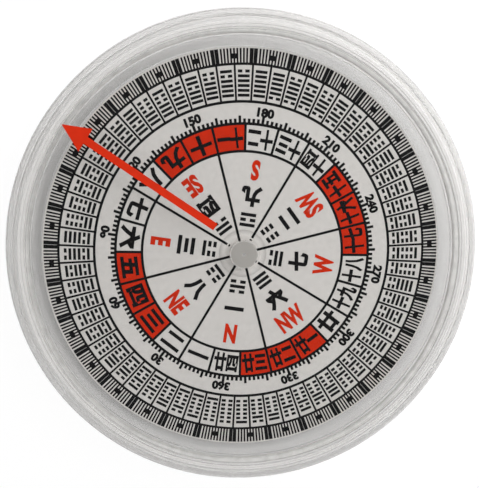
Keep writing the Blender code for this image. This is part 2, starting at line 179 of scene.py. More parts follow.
def turned(name, profile, finish, closed=True, steps=TURN_STEPS):
    """Spins a profile of (radius, height) points about the axis. An open one starts and ends on it."""
    solid = bmesh.new()
    points = [solid.verts.new((r, 0.0, z)) for r, z in profile]
    edges = [solid.edges.new(pair) for pair in zip(points, points[1:])]
    if closed:
        edges.append(solid.edges.new((points[-1], points[0])))
    bmesh.ops.spin(solid, geom=points + edges, axis=(0.0, 0.0, 1.0), angle=2 * pi, steps=steps)
    bmesh.ops.remove_doubles(solid, verts=solid.verts, dist=MERGE)
    return finished(name, solid, finish)


# Material nodes

NOISE_ROUGHNESS = 0.55
RING_NOISE_DETAIL = 3.0


def node_material(name):
    made = bpy.data.materials.new(name)
    made.use_nodes = True
    tree = made.node_tree
    return made, tree, tree.nodes["Principled BSDF"]


def add(tree, kind, **values):
    node = tree.nodes.new(kind)
    for key, value in values.items():
        setattr(node, key, value)
    return node


def noise(tree, scale, detail=4.0):
    """Noise in the piece's own coordinates, with its scale per metre."""
    place = add(tree, "ShaderNodeTexCoord")
    texture = add(tree, "ShaderNodeTexNoise")
    texture.inputs["Scale"].default_value = scale
    texture.inputs["Detail"].default_value = detail
    texture.inputs["Roughness"].default_value = NOISE_ROUGHNESS
    tree.links.new(place.outputs["Object"], texture.inputs["Vector"])
    return texture.outputs["Fac"]


def axis_distance(tree):
    """Distance from the piece's axis, in metres."""
    place = add(tree, "ShaderNodeTexCoord")
    flat = add(tree, "ShaderNodeVectorMath", operation="MULTIPLY")
    flat.inputs[1].default_value = (1.0, 1.0, 0.0)
    reach = add(tree, "ShaderNodeVectorMath", operation="LENGTH")
    tree.links.new(place.outputs["Object"], flat.inputs[0])
    tree.links.new(flat.outputs["Vector"], reach.inputs[0])
    return reach.outputs["Value"]


def ring_noise(tree, scale):
    """Noise that changes only with the distance from the piece's axis."""
    texture = add(tree, "ShaderNodeTexNoise", noise_dimensions="1D")
    texture.inputs["Scale"].default_value = scale
    texture.inputs["Detail"].default_value = RING_NOISE_DETAIL
    tree.links.new(axis_distance(tree), texture.inputs["W"])
    return texture.outputs["Fac"]


def ramp(tree, factor, low, high, first=0.35, last=0.65):
    """Colour between low and high as the factor goes from first to last."""
    node = add(tree, "ShaderNodeValToRGB")
    node.color_ramp.elements[0].position = first
    node.color_ramp.elements[0].color = (*low, 1.0)
    node.color_ramp.elements[1].position = last
    node.color_ramp.elements[1].color = (*high, 1.0)
    tree.links.new(factor, node.inputs["Fac"])
    return node.outputs["Color"]


def span(tree, factor, low, high, first=0.3, last=0.7):
    """Value between low and high as the factor goes from first to last."""
    node = add(tree, "ShaderNodeMapRange")
    node.inputs["From Min"].default_value = first
    node.inputs["From Max"].default_value = last
    node.inputs["To Min"].default_value = low
    node.inputs["To Max"].default_value = high
    tree.links.new(factor, node.inputs["Value"])
    return node.outputs["Result"]


def join(tree, operation, first, second):
    node = add(tree, "ShaderNodeMath", operation=operation)
    tree.links.new(first, node.inputs[0])
    tree.links.new(second, node.inputs[1])
    return node.outputs[0]


def bump(tree, height, distance, strength=1.0, onto=None):
    """Normal for a height of the surface, laid over another bump where one is given."""
    node = add(tree, "ShaderNodeBump")
    node.inputs["Distance"].default_value = distance
    node.inputs["Strength"].default_value = strength
    tree.links.new(height, node.inputs["Height"])
    if onto:
        tree.links.new(onto, node.inputs["Normal"])
    return node.outputs["Normal"]


def blend_surface(tree, factor, shader, other):
    """Gives the surface a shader that goes over into another as the factor goes to 1."""
    mix = add(tree, "ShaderNodeMixShader")
    tree.links.new(factor, mix.inputs["Fac"])
    tree.links.new(shader, mix.inputs[1])
    tree.links.new(other, mix.inputs[2])
    tree.links.new(mix.outputs["Shader"], tree.nodes["Material Output"].inputs["Surface"])


def shade(colour, factor):
    return tuple(channel * factor for channel in colour)


# Materials

# Blotches are so many times as large as the grain
BLOTCH_SIZE = 12

# The wave texture's own rate, at a scale of 1: waves on 2 pi metres
WAVE_RATE = 20
TOOL_MARK_BLUR = 0.6

# Polish on a turned piece's edge and a painted glint at its centre: their colour, width of the edge's blend
# in metres, and the glint's strength and radii
POLISH_AND_GLINT_COLOUR = (0.93, 0.92, 0.90, 1.0)
POLISH_BLEND = 0.00003
PAINTED_GLINT = 0.7
PAINTED_GLINT_RADII = (0.00018, 0.00032)

ACRYLIC_IOR = 1.49
ACRYLIC_SHADOW = (0.98, 0.98, 0.98, 1.0)

# Scales of noise, per metre
METAL_GRAIN = 6000.0
ACRYLIC_HAZE = 900.0
ACRYLIC_WAVES = 160.0
SCRATCH_RINGS = 2600.0
SCRATCH_PATCHES = 90.0


def plain(name, colour, roughness, metallic=0.0, grain=9000.0, spread=0.12, depth=0.000004, coat=0.0,
          shine=0.5):
    """Solid material with faint blotches, fine grain and uneven gloss."""
    made, tree, shader = node_material(name)
    blotch = noise(tree, grain / BLOTCH_SIZE)
    fine = noise(tree, grain)
    colours = ramp(tree, blotch, shade(colour, 1 - spread), shade(colour, 1 + spread / 2))
    tree.links.new(colours, shader.inputs["Base Color"])
    tree.links.new(span(tree, fine, roughness * 0.8, roughness * 1.2), shader.inputs["Roughness"])
    tree.links.new(bump(tree, fine, depth), shader.inputs["Normal"])
    shader.inputs["Metallic"].default_value = metallic
    shader.inputs["Coat Weight"].default_value = coat
    shader.inputs["Specular IOR Level"].default_value = shine
    return made


def turned_metal(name, colour, roughness, pitch, depth=0.000006, metallic=1.0, polished=None):
    """Metal with fine concentric tool marks about the piece's axis.

    Where a radius is given as polished, the edge from there outward is polished and bright, and a spot at the
    centre is polished and painted lighter as a glint.
    """
    made, tree, shader = node_material(name)
    place = add(tree, "ShaderNodeTexCoord")
    wave = add(tree, "ShaderNodeTexWave", wave_type="RINGS", rings_direction="Z")
    wave.inputs["Scale"].default_value = 2 * pi / WAVE_RATE / pitch
    wave.inputs["Distortion"].default_value = TOOL_MARK_BLUR
    wave.inputs["Detail"].default_value = 2.0
    wave.inputs["Detail Scale"].default_value = 2.0
    tree.links.new(place.outputs["Object"], wave.inputs["Vector"])
    colours = ramp(tree, wave.outputs["Fac"], shade(colour, 0.86), shade(colour, 1.08), 0.1, 0.9)
    gloss = span(tree, noise(tree, METAL_GRAIN), roughness * 0.8, roughness * 1.25)
    if polished:
        reach = axis_distance(tree)
        edge = span(tree, reach, 0.0, 1.0, polished, polished + POLISH_BLEND)
        # Painted glint: a spot at the centre gets the lighter colour, with more metal and gloss
        centre = span(tree, reach, PAINTED_GLINT, 0.0, *PAINTED_GLINT_RADII)
        bright = join(tree, "MAXIMUM", edge, centre)
        mix = add(tree, "ShaderNodeMix", data_type="RGBA")
        sockets = {socket.name: socket for socket in mix.inputs if socket.type == "RGBA"}
        sockets["B"].default_value = POLISH_AND_GLINT_COLOUR
        tree.links.new(bright, mix.inputs["Factor"])
        tree.links.new(colours, sockets["A"])
        colours = [socket for socket in mix.outputs if socket.type == "RGBA"][0]
        gloss = join(tree, "MULTIPLY", gloss, span(tree, bright, 1.0, 0.3, 0.0, 1.0))
        tree.links.new(span(tree, bright, metallic, 1.0, 0.0, 1.0), shader.inputs["Metallic"])
    tree.links.new(colours, shader.inputs["Base Color"])
    tree.links.new(gloss, shader.inputs["Roughness"])
    tree.links.new(bump(tree, wave.outputs["Fac"], depth, 0.6), shader.inputs["Normal"])
    shader.inputs["Metallic"].default_value = metallic
    return made


def burnished(made, gains):
    """Paints light and shade into a material's colour: multiplies it by gains that are given at radii from
    the piece's axis.
    """
    tree = made.node_tree
    shader = tree.nodes["Principled BSDF"]
    colours = shader.inputs["Base Color"].links[0].from_socket
    reach = axis_distance(tree)
    gain = None
    for (near, first), (far, last) in zip(gains, gains[1:]):
        if gain is None:
            gain = span(tree, reach, first, last, near, far)
        else:
            gain = join(tree, "ADD", gain, span(tree, reach, 0.0, last - first, near, far))
    scaled = add(tree, "ShaderNodeVectorMath", operation="SCALE")
    tree.links.new(colours, scaled.inputs[0])
    tree.links.new(gain, scaled.inputs["Scale"])
    tree.links.new(scaled.outputs["Vector"], shader.inputs["Base Color"])


def clear_plastic(name, colour, roughness, scratches, waviness, clearness=1.0):
    """Clear moulding with fine scratches round its axis and slight waves, which lamps shine through."""
    made, tree, shader = node_material(name)
    shader.inputs["Base Color"].default_value = (*colour, 1.0)
    shader.inputs["Transmission Weight"].default_value = clearness
    shader.inputs["IOR"].default_value = ACRYLIC_IOR
    haze = noise(tree, ACRYLIC_HAZE, detail=3.0)
    tree.links.new(span(tree, haze, roughness * 0.4, roughness * 1.6), shader.inputs["Roughness"])
    wavy = bump(tree, noise(tree, ACRYLIC_WAVES, detail=2.0), waviness)
    patches = span(tree, noise(tree, SCRATCH_PATCHES, detail=2.0), 0.2, 1.0)
    marks = join(tree, "MULTIPLY", ring_noise(tree, SCRATCH_RINGS), patches)
    tree.links.new(bump(tree, marks, scratches, onto=wavy), shader.inputs["Normal"])
    light_path = add(tree, "ShaderNodeLightPath")
    through = add(tree, "ShaderNodeBsdfTransparent")
    through.inputs["Color"].default_value = ACRYLIC_SHADOW
    blend_surface(tree, light_path.outputs["Is Shadow Ray"], shader.outputs["BSDF"],
                  through.outputs["BSDF"])
    return made


case_clear = clear_plastic("case_clear", (0.86, 0.852, 0.841), roughness=0.07, scratches=0.0000004,
                           waviness=0.000001, clearness=0.76)
cover_clear = clear_plastic("cover_clear", (0.98, 0.98, 0.98), roughness=0.015, scratches=0.0000005,
                            waviness=0.000001)
silicone = plain("silicone", (0.76, 0.75, 0.73), 0.5)
red_film = plain("red_film", (0.47, 0.018, 0.002), 0.5, spread=0.08, depth=0.000001, shine=0.12)
foil = plain("printed_aluminium", (0.61, 0.59, 0.565), 0.42, metallic=0.1, grain=14000.0, spread=0.05,
             depth=0.000003)
# Painted light on the foil round the hub, which lifts the hub's shadow there, and a painted shade line at the
# foot of the collar's outer slope
burnished(foil, (
    (0.0024, 1.53), (0.0030, 1.50), (0.0036, 1.17), (0.0038, 0.93), (0.0040, 1.05), (0.0060, 1.0),
))
black_ink = plain("black_ink", (0.004, 0.004, 0.0045), 0.55, spread=0.3, depth=0.000001, shine=0.03)
red_ink = plain("red_ink", (0.525, 0.0205, 0.002), 0.55, spread=0.08, depth=0.000001, shine=0.03)
hub_metal = turned_metal("hub_metal", (0.505, 0.485, 0.455), 0.42, pitch=0.00027, metallic=0.3,
                         polished=0.00213)
brass = turned_metal("brass", (0.72, 0.53, 0.24), 0.26, pitch=0.00015)
steel = turned_metal("steel", (0.55, 0.56, 0.58), 0.22, pitch=0.0001, depth=0.000003)
magnet_steel = plain("magnet_steel", (0.10, 0.10, 0.105), 0.45, metallic=0.8)
white_moulding = plain("white_moulding", (0.78, 0.78, 0.76), 0.5, spread=0.04)
ruby = plain("ruby", (0.45, 0.02, 0.06), 0.1, coat=0.5)


# Case, cover and card, in finer steps than the source, with their edges rounded

def base_shell():
    case_radius, _, wall_top = sizes("base_shell")
    gasket_radius, _, _ = sizes("seal_gasket")
    _, ring_bottom, _ = sizes("bezel_ring")
    ledge = ring_bottom - GAP
    rebate = case_radius - WALL_SKIN
    cavity = gasket_radius - GASKET_WIDTH - SEAT_MARGIN
    foot_outer = case_radius - FOOT_INSET
    foot_inner = foot_outer - FOOT_WIDTH
    groove_radius = rebate + BEAD_HEIGHT
    groove_middle = ring_bottom + BEAD_RISE
    groove_half = BEAD_LENGTH / 2 + GAP
    socket_floor = FLOOR_TOP - SOCKET_DEPTH
    pad_floor = FLOOR_TOP - FLOOR_PAD_DROP
    corners = [
        (0.0, socket_floor, 0.0),
        (SOCKET_RADIUS, socket_floor, 0.0),
        (SOCKET_RADIUS, FLOOR_TOP, FINE_EDGE),
        (FLOOR_PAD_RADIUS, FLOOR_TOP, FINE_EDGE),
        (FLOOR_PAD_RADIUS + FLOOR_PAD_DROP, pad_floor, FINE_EDGE),
        (cavity, pad_floor, FLOOR_FILLET),
        (cavity, ledge, SOFT_EDGE),
        (rebate, ledge, 0.0),
        (rebate, groove_middle - groove_half, 0.0),
        (groove_radius, groove_middle - groove_half + BEAD_HEIGHT, 0.0),
        (groove_radius, groove_middle + groove_half - BEAD_HEIGHT, 0.0),
        (rebate, groove_middle + groove_half, 0.0),
        (rebate, wall_top, MOULDED_EDGE),
        (case_radius, wall_top, WALL_TOP_FILLET),
        (case_radius, FOOT_HEIGHT + BASE_CHAMFER, BASE_EDGE),
        (case_radius - BASE_CHAMFER, FOOT_HEIGHT, MOULDED_EDGE),
        (foot_outer, FOOT_HEIGHT, 0.0),
        (foot_outer, 0.0, MOULDED_EDGE),
        (foot_inner, 0.0, MOULDED_EDGE),
        (foot_inner, FOOT_HEIGHT, 0.0),
        (0.0, FOOT_HEIGHT, 0.0),
    ]
    piece = turned("case_base", rounded(corners), case_clear, closed=False)
    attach(piece, "housing")
    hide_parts("base_shell")


def cover():
    flange, bottom, top = sizes("cover_lens")
    lens = flange - FLANGE_WIDTH
    flange_top = bottom + FLANGE_THICKNESS
    corners = [
        (0.0, top, 0.0),
        (lens, top, LENS_FILLET),
        (lens, flange_top, FINE_EDGE),
        (flange, flange_top, MOULDED_EDGE),
        (flange, bottom, MOULDED_EDGE),
        (0.0, bottom, 0.0),
    ]
    piece = turned("cover_disc", rounded(corners), cover_clear, closed=False)
    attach(piece, "housing")
    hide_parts("cover_lens")


def bezel():
    bead_radius, low, high = sizes("bezel_ring")
    flange, _, _ = sizes("cover_lens")
    outer = bead_radius - BEAD_HEIGHT
    leg_inner = flange + GAP
    lip_inner = flange - FLANGE_WIDTH + GAP
    lip_bottom = high - RING_LIP_THICKNESS
    bead = low + BEAD_RISE
    bead_half = BEAD_LENGTH / 2
    corners = [
        (lip_inner, high, SOFT_EDGE),
        (outer - RING_BEVEL, high, BEVEL_EDGE),
        (outer, high - RING_BEVEL, BEVEL_EDGE),
        (outer, bead + bead_half, 0.0),
        (bead_radius, bead + bead_half - BEAD_HEIGHT, 0.0),
        (bead_radius, bead - bead_half + BEAD_HEIGHT, 0.0),
        (outer, bead - bead_half, 0.0),
        (outer, low, SOFT_EDGE),
        (leg_inner, low, SOFT_EDGE),
        (leg_inner, lip_bottom, FINE_EDGE),
        (lip_inner, lip_bottom, FINE_EDGE),
    ]
    piece = turned("bezel", rounded(corners), case_clear)
    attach(piece, "housing")
    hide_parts("bezel_ring")


def gasket():
    outer, low, high = sizes("seal_gasket")
    inner = outer - GASKET_WIDTH
    corners = [
        (inner, high, SOFT_EDGE),
        (outer, high, SOFT_EDGE),
        (outer, low, SOFT_EDGE),
        (inner, low, SOFT_EDGE),
    ]
    piece = turned("gasket", rounded(corners), silicone)
    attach(piece, "housing")
    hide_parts("seal_gasket")


def collar_height(radius):
    """Height of the embossed collar above the dial at a radius."""
    if radius <= COLLAR_INNER_RADIUS or radius >= COLLAR_OUTER_RADIUS:
        return 0.0
    rise = min(radius - COLLAR_INNER_RADIUS, COLLAR_OUTER_RADIUS - radius) / COLLAR_SLOPE
    return COLLAR_HEIGHT * min(1.0, rise)


def dial():
    collar_top = dial_top + COLLAR_HEIGHT
    corners = [
        (CARD_HOLE_RADIUS, dial_top, 0.0),
        (COLLAR_INNER_RADIUS, dial_top, COLLAR_EDGE),
        (COLLAR_INNER_RADIUS + COLLAR_SLOPE, collar_top, FINE_EDGE),
        (COLLAR_OUTER_RADIUS - COLLAR_SLOPE, collar_top, FINE_EDGE),
        (COLLAR_OUTER_RADIUS, dial_top, COLLAR_EDGE),
        (dial_radius, dial_top, DIAL_EDGE_ROUND),
        (dial_radius, dial_bottom, 0.0),
        (CARD_HOLE_RADIUS, dial_bottom, 0.0),
    ]
    piece = turned("dial_sheet", rounded(corners), foil)
    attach(piece, "card")
    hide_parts("dial_face")


def hub():
    radius, low, high = sizes("hub_cap")
    foot = dial_top + GAP
    groove = foot + HUB_GROOVE_HEIGHT
    groove_root = radius - HUB_GROOVE_DEPTH
    bore_top = high - HUB_ROOF
    corners = [
        (0.0, high - HUB_DIMPLE_DEPTH, 0.0),
        (HUB_DIMPLE_RADIUS, high, FINE_EDGE),
        (radius, high, HUB_CHAMFER),
        (radius, groove + HUB_GROOVE_WIDTH, GROOVE_EDGE),
        (groove_root, groove + HUB_GROOVE_WIDTH - HUB_GROOVE_DEPTH, GROOVE_EDGE),
        (groove_root, groove + HUB_GROOVE_DEPTH, GROOVE_EDGE),
        (radius, groove, GROOVE_EDGE),
        (radius, foot, FINE_EDGE),
        (SPIGOT_RADIUS, foot, 0.0),
        (SPIGOT_RADIUS, low, FINE_EDGE),
        (BORE_RADIUS, low, FINE_EDGE),
        (BORE_RADIUS, bore_top, 0.0),
        (0.0, bore_top, 0.0),
    ]
    piece = turned("hub", rounded(corners), hub_metal, closed=False, steps=HUB_STEPS)
    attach(piece, "card")
    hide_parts("hub_cap")


# Print: shapes, laid out on the card with bearings in degrees, clockwise from its north

def spot(radius, bearing, side=0.0, height=0.0):
    """Point at a radius and a bearing, moved sideways clockwise. All but the bearing is in metres."""
    turn = pi / 2 - radians(bearing) + CARD_HEADING
    return Vector((
        radius * cos(turn) + side * sin(turn),
        radius * sin(turn) - side * cos(turn),
        height,
    ))


def ink_levels(ink):
    """Lowest and highest point of ink that stands this far above the dial."""
    return dial_top - INK_DEPTH, dial_top + ink


def prism(solid, outline, bottom, top):
    """Closed solid over a flat outline of points."""
    low = [solid.verts.new((p.x, p.y, bottom)) for p in outline]
    high = [solid.verts.new((p.x, p.y, top)) for p in outline]
    solid.faces.new(low[::-1])
    solid.faces.new(high)
    for index in range(len(low)):
        after = (index + 1) % len(low)
        solid.faces.new((low[index], low[after], high[after], high[index]))


def block(solid, bearing, start, end, left, right, ink):
    """Straight block along a bearing, between two radii and two sides in units."""
    corners = [
        spot(start * unit, bearing, left * unit),
        spot(start * unit, bearing, right * unit),
        spot(end * unit, bearing, right * unit),
        spot(end * unit, bearing, left * unit),
    ]
    prism(solid, corners, *ink_levels(ink))


def bar(solid, bearing, start, end, width):
    """Straight line along a bearing, between two radii in units."""
    block(solid, bearing, start, end, -width / 2, width / 2, LINE_INK)


def strip(solid, bearing, stations, section):
    """Bar along a bearing, with one cross section, that follows the sheet's height at radii in metres."""
    rings = []
    for radius in stations:
        height = dial_top + collar_height(radius)
        rings.append([
            solid.verts.new(spot(radius, bearing, side, height + level))
            for side, level in section
        ])
    for here, there in zip(rings, rings[1:]):
        for index in range(len(section)):
            after = (index + 1) % len(section)
            solid.faces.new((here[index], here[after], there[after], there[index]))
    solid.faces.new(rings[0])
    solid.faces.new(rings[-1][::-1])


def sector(solid, first, last, start, end, ink, step):
    """Part of a ring between two bearings and two radii in units, in steps of so many degrees."""
    count = max(1, round((last - first) / step))
    bearings = [first + (last - first) * index / count for index in range(count + 1)]
    inner = [spot(start * unit, b) for b in bearings]
    outer = [spot(end * unit, b) for b in reversed(bearings)]
    bottom, top = ink_levels(ink)
    low = [solid.verts.new((p.x, p.y, bottom)) for p in inner + outer]
    high = [solid.verts.new((p.x, p.y, top)) for p in inner + outer]
    total = len(low)
    for index in range(count):
        other = total - 1 - index
        solid.faces.new((low[index], low[index + 1], low[other - 1], low[other]))
        solid.faces.new((high[other], high[other - 1], high[index + 1], high[index]))
    for index in range(total):
        after = (index + 1) % total
        solid.faces.new((low[index], high[index], high[after], low[after]))


def circle(solid, radius, width):
    """Closed thin ring centred on a radius in units."""
    bottom, top = ink_levels(LINE_INK)
    rings = []
    for side, z in ((-1, bottom), (1, bottom), (1, top), (-1, top)):
        reach = (radius + side * width / 2) * unit
        turns = [2 * pi * step / CIRCLE_STEPS for step in range(CIRCLE_STEPS)]
        rings.append([solid.verts.new((reach * cos(turn), reach * sin(turn), z)) for turn in turns])
    for here, there in zip(rings, rings[1:] + rings[:1]):
        for step in range(CIRCLE_STEPS):
            after = (step + 1) % CIRCLE_STEPS
            solid.faces.new((here[step], here[after], there[after], there[step]))


def figure(solid, marks, bearing, lowest, rise, thick, wide, split):
    """Lines across a bearing, stacked outward. A mark of 1 is a whole line, and 0 one that is split."""
    for line, mark in enumerate(marks):
        radius = lowest + rise * line
        parts = [(-wide / 2, wide / 2)]
        if mark == "0":
            parts = [(-wide / 2, -split / 2), (split / 2, wide / 2)]
        for left, right in parts:
            block(solid, bearing, radius - thick / 2, radius + thick / 2, left, right, GLYPH_INK)


letter_shapes = {}


def letter_shape(text, weight):
    """Flat triangles of a text one unit of the font high: its points, and its faces as indices."""
    key = (text, weight)
    if key not in letter_shapes:
        curve = bpy.data.curves.new("letters", "FONT")
        curve.body = text
        curve.offset = weight
        curve.resolution_u = 3
        holder = bpy.data.objects.new("letters", curve)
        bpy.context.scene.collection.objects.link(holder)
        bpy.context.view_layer.update()
        graph = bpy.context.evaluated_depsgraph_get()
        mesh = bpy.data.meshes.new_from_object(holder.evaluated_get(graph))
        points = [(v.co.x, v.co.y) for v in mesh.vertices]
        faces = [tuple(p.vertices) for p in mesh.polygons]
        bpy.data.objects.remove(holder)
        bpy.data.curves.remove(curve)
        bpy.data.meshes.remove(mesh)
        letter_shapes[key] = points, faces
    return letter_shapes[key]


def shape_box(points):
    xs = [x for x, _ in points]
    ys = [y for _, y in points]
    return min(xs), max(xs), min(ys), max(ys)


def lettering(solid, text, bearing, radius, wide, high, weight, inward=True, centre_y=None):
    """Puts a text on the dial. wide and high are the units that one unit of the font takes."""
    points, faces = letter_shape(text, weight)
    left, right, low, top = shape_box(points)
    middle_x = (left + right) / 2
    middle_y = (low + top) / 2 if centre_y is None else centre_y
    sign = -1 if inward else 1
    bottom, peak = ink_levels(GLYPH_INK)
    made = []
    for x, y in points:
        side = sign * (x - middle_x) * wide * unit
        along = radius * unit + sign * (y - middle_y) * high * unit
        place = spot(along, bearing, side)
        made.append(solid.verts.new((place.x, place.y, bottom)))
    flat = [solid.faces.new([made[i] for i in face]) for face in faces]
    bmesh.ops.remove_doubles(solid, verts=made, dist=MERGE)
    flat = [face for face in flat if face.is_valid]
    raised = bmesh.ops.extrude_face_region(solid, geom=flat)["geom"]
    tops = [item for item in raised if isinstance(item, bmesh.types.BMVert)]
    bmesh.ops.translate(solid, verts=tops, vec=(0.0, 0.0, peak - bottom))


# Print: what stands where. Radii and widths are in units, and angles in degrees

CIRCLES = ((CELL_RING[1], 2.3), (CELL_RING[0], 2.6), (DEGREE_RING, 2.6), (NUMERAL_RING[0], 2.6))

# Rim: groups of ticks between two broad marks, with a short cross mark at the middle tick
RIM_GROUPS = 32
RIM_REACH = (RIM_TICKS[0] + 0.6, RIM_TICKS[1])
RIM_PITCH = 360 / 384
RIM_STEP = 0.5
FINE_TICKS = range(2, 11)
FINE_TICK_HALF = 0.26
BROAD_MARK = (0.05, 1.15)
CROSSED_TICK = 6
CROSS_HALF = 0.975
CROSS_REACH = (187.1, 191.9)

# Lines between cells: start, end and width
FIGURE_CELLS = 64
FIGURE_CELL_LINE = (CELL_RING[0] + 1.0, CELL_RING[1] - 1.0, 2.0)
NUMERAL_CELLS = 24
NUMERAL_CELL = 360 / NUMERAL_CELLS
NUMERAL_CELL_LINE = (NUMERAL_RING[0] + 1.0, NUMERAL_RING[1] - 0.9, 2.5)
RED_CELLS = (45, 60, 75, 135, 150, 165, 225, 240, 255, 315, 330, 345)
RED_CELL_STEP = 1.0

HEXAGRAM = {"lowest": 153.05, "rise": 4.5, "thick": 2.7, "wide": 11.4, "split": 2.8}
TRIGRAM = {"lowest": 28.6, "rise": 5.15, "thick": 3.2, "wide": 15.2, "split": 4.0}

# Degree ticks: every so many degrees, the end and width
TICK_START = DEGREE_RING + 0.5
TICKS = ((30, 134.8, 2.7), (10, 134.0, 2.6), (2, 131.3, 2.6))

# Lettering: widths are for one and for more glyphs
FONT_DIGIT_WIDTH = 0.469
FONT_CAPITAL_HEIGHT = 0.70
DEGREE_NUMBER = {
    "radius": 137.9,
    "wide": 5.7 / FONT_DIGIT_WIDTH,
    "high": 7.8 / FONT_CAPITAL_HEIGHT,
    "weight": 0.06,
}
DEGREE_NUMBER_TURN = 0.6
RING_NUMERAL = {"radius": 112.8, "high": 19.5, "weight": 0.052}
RING_NUMERAL_WIDTHS = (22.0, 12.6)
POINT_NUMBER = {"radius": 56.8, "wide": 19.0, "high": 19.5, "weight": 0.06}
POINT_NAME = {"radius": 82.6, "high": 17.7 / FONT_CAPITAL_HEIGHT, "weight": 0.05}
POINT_NAME_WIDTHS = (17.0, 15.5)
NUMERALS = "一二三四五六七八九"
TENS = ("", "十", "廿")

# Points from north clockwise: name, figure with its lines from the hub outward, and magic-square number
POINT_NAMES = ("N", "NE", "E", "SE", "S", "SW", "W", "NW")
POINT_TRIGRAMS = ("010", "100", "001", "110", "101", "000", "011", "111")
POINT_NUMBERS = (1, 8, 3, 4, 9, 2, 7, 6)
POINT_ANGLE = 45

# Lines between the points: those that break, and in metres their starts and how far past the slope they go on
BROKEN_LINES = (2, 4, 6)
WHOLE_LINE_START = 0.0022
BROKEN_LINE_START = 0.00245
BREAK_MARGIN = 0.0001
SECTOR_LINE_END = NUMERAL_RING[0] - 0.6
SECTOR_LINE_WIDTH = 2.5


def circles(solid):
    for radius, width in CIRCLES:
        circle(solid, radius, width)


def rim_ticks(solid):
    near, far = BROAD_MARK
    for group in range(RIM_GROUPS):
        base = 360 / RIM_GROUPS * (group + 0.5)
        arcs = [(base + near, base + far), (base - far, base - near)]
        for tick in FINE_TICKS:
            middle = base + tick * RIM_PITCH
            arcs.append((middle - FINE_TICK_HALF, middle + FINE_TICK_HALF))
        for first, last in arcs:
            sector(solid, first, last, *RIM_REACH, GLYPH_INK, RIM_STEP)
        middle = base + CROSSED_TICK * RIM_PITCH
        sector(solid, middle - CROSS_HALF, middle - FINE_TICK_HALF, *CROSS_REACH, GLYPH_INK, RIM_STEP)
        sector(solid, middle + FINE_TICK_HALF, middle + CROSS_HALF, *CROSS_REACH, GLYPH_INK, RIM_STEP)


def cell_lines(solid):
    for cell in range(FIGURE_CELLS):
        bar(solid, 360 / FIGURE_CELLS * cell, *FIGURE_CELL_LINE)
    for cell in range(NUMERAL_CELLS):
        bar(solid, NUMERAL_CELL * (cell + 0.5), *NUMERAL_CELL_LINE)


def hexagrams(solid):
    """The 64 figures in their old binary circle, from whole lines at the south to split ones at the north."""
    half_count = FIGURE_CELLS // 2
    for cell in range(FIGURE_CELLS):
        away = 360 / FIGURE_CELLS * (cell % half_count + 0.5)
        bearing = 180 - away if cell < half_count else 180 + away
        figure(solid, f"{FIGURE_CELLS - 1 - cell:06b}", bearing, **HEXAGRAM)


def degree_ticks(solid):
    for degree in range(0, 360, 2):
        end, width = next(shape for every, *shape in TICKS if degree % every == 0)
        bar(solid, degree, TICK_START, end, width)


def degree_numbers(solid):
    for degree in range(30, 361, 30):
        lettering(solid, str(degree), degree + DEGREE_NUMBER_TURN, inward=False, **DEGREE_NUMBER)


def red_cells(solid):
    half = NUMERAL_CELL / 2
    for middle in RED_CELLS:
        sector(solid, middle - half, middle + half, *NUMERAL_RING, FILL_INK, RED_CELL_STEP)


def chinese(number):
    tens, ones = divmod(number, 10)
    return TENS[tens] + (NUMERALS[ones - 1] if ones else "")


def numeral_centre():
    """Middle height of the numerals, the same for all, as some are only one stroke high."""
    _, _, low, top = shape_box(letter_shape("十", 0.0)[0])
    return (low + top) / 2


def ring_numerals(solid):
    middle = numeral_centre()
    for number in range(1, NUMERAL_CELLS + 1):
        text = chinese(number)
        wide = RING_NUMERAL_WIDTHS[len(text) > 1]
        lettering(solid, text, NUMERAL_CELL * number, wide=wide, centre_y=middle, **RING_NUMERAL)


def sector_lines(solid):
    """Lines between the eight points, over the collar to the hub. Three miss the collar's inner slope."""
    slope_top = COLLAR_INNER_RADIUS + COLLAR_SLOPE
    outward = (COLLAR_OUTER_RADIUS - COLLAR_SLOPE, COLLAR_OUTER_RADIUS, SECTOR_LINE_END * unit)
    whole = ((WHOLE_LINE_START, COLLAR_INNER_RADIUS, slope_top, *outward),)
    broken = ((BROKEN_LINE_START, COLLAR_INNER_RADIUS), (slope_top + BREAK_MARGIN, *outward))
    half = SECTOR_LINE_WIDTH / 2 * unit
    section = ((-half, -INK_DEPTH), (half, -INK_DEPTH), (half, LINE_INK), (-half, LINE_INK))
    for point in range(8):
        for stations in broken if point in BROKEN_LINES else whole:
            strip(solid, POINT_ANGLE * (point + 0.5), stations, section)


def trigrams(solid):
    for point, lines in enumerate(POINT_TRIGRAMS):
        figure(solid, lines, POINT_ANGLE * point, **TRIGRAM)


def point_numbers(solid):
    middle = numeral_centre()
    for point, number in enumerate(POINT_NUMBERS):
        lettering(solid, chinese(number), POINT_ANGLE * point, centre_y=middle, **POINT_NUMBER)


def point_names(solid):
    for point, name in enumerate(POINT_NAMES):
        wide = POINT_NAME_WIDTHS[len(name) > 1]
        lettering(solid, name, POINT_ANGLE * point, wide=wide, **POINT_NAME)


def printed(name, draw, ink):
    """Makes one print layer on the card."""
    solid = bmesh.new()
    draw(solid)
    piece = finished(name, solid, ink, smooth=False)
    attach(piece, "card")


base_shell()
cover()
bezel()
gasket()
dial()
hub()
printed("print_circles", circles, black_ink)
printed("print_rim_ticks", rim_ticks, black_ink)
printed("print_cell_lines", cell_lines, black_ink)
printed("print_hexagrams", hexagrams, black_ink)
printed("print_degree_ticks", degree_ticks, black_ink)
printed("print_degree_numbers", degree_numbers, black_ink)
printed("print_red_cells", red_cells, red_ink)
printed("print_ring_numerals", ring_numerals, black_ink)
printed("print_sector_lines", sector_lines, black_ink)
printed("print_trigrams", trigrams, black_ink)
printed("print_point_numbers", point_numbers, black_ink)
printed("print_point_names", point_names, red_ink)

